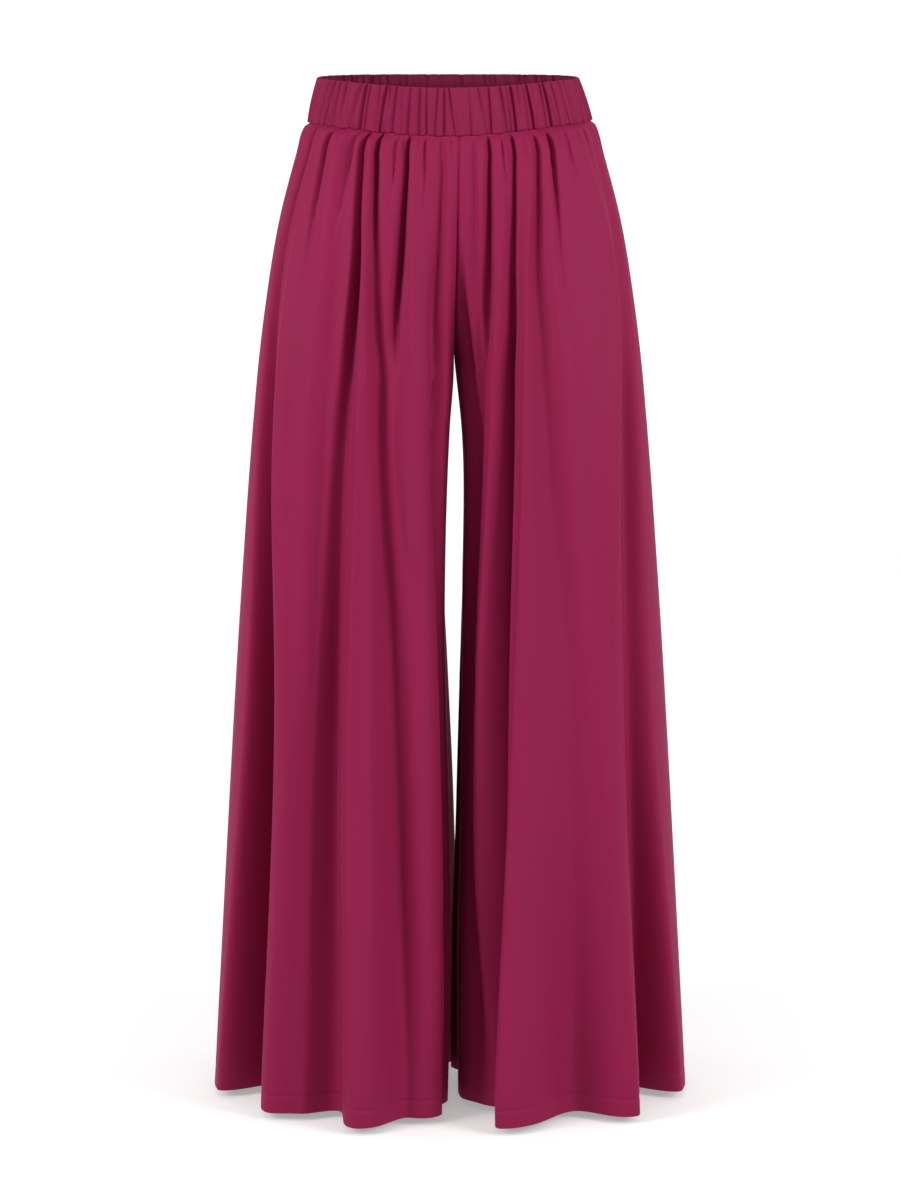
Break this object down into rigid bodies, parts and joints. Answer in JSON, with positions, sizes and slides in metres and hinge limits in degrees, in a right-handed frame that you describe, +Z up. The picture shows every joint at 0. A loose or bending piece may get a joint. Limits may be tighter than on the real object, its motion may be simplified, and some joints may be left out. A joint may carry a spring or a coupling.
{
  "type": "palazzo pants",
  "caption": "Wide-leg palazzo pants in plain crepe with a gathered elastic waistband, filled out in their worn shape, open at the waist and both hems.",
  "frame": {"origin": "middle of the waistband's ring, where the wearer's waist holds it", "axes": "+Z up out of the waist opening, -Y towards the front, +X towards the wearer's left side seam"},
  "size_m": [0.4824, 0.309, 1.0257],
  "materials": {
    "crepe_panels": "matt crepe with a faint soft sheen",
    "crepe_waistband": "matt crepe, closely gathered"
  },
  "bodies": {
    "root": {"waistband": "crepe_waistband", "front_right": "crepe_panels", "front_left": "crepe_panels", "back_right": "crepe_panels", "back_left": "crepe_panels"}
  },
  "joints": []
}
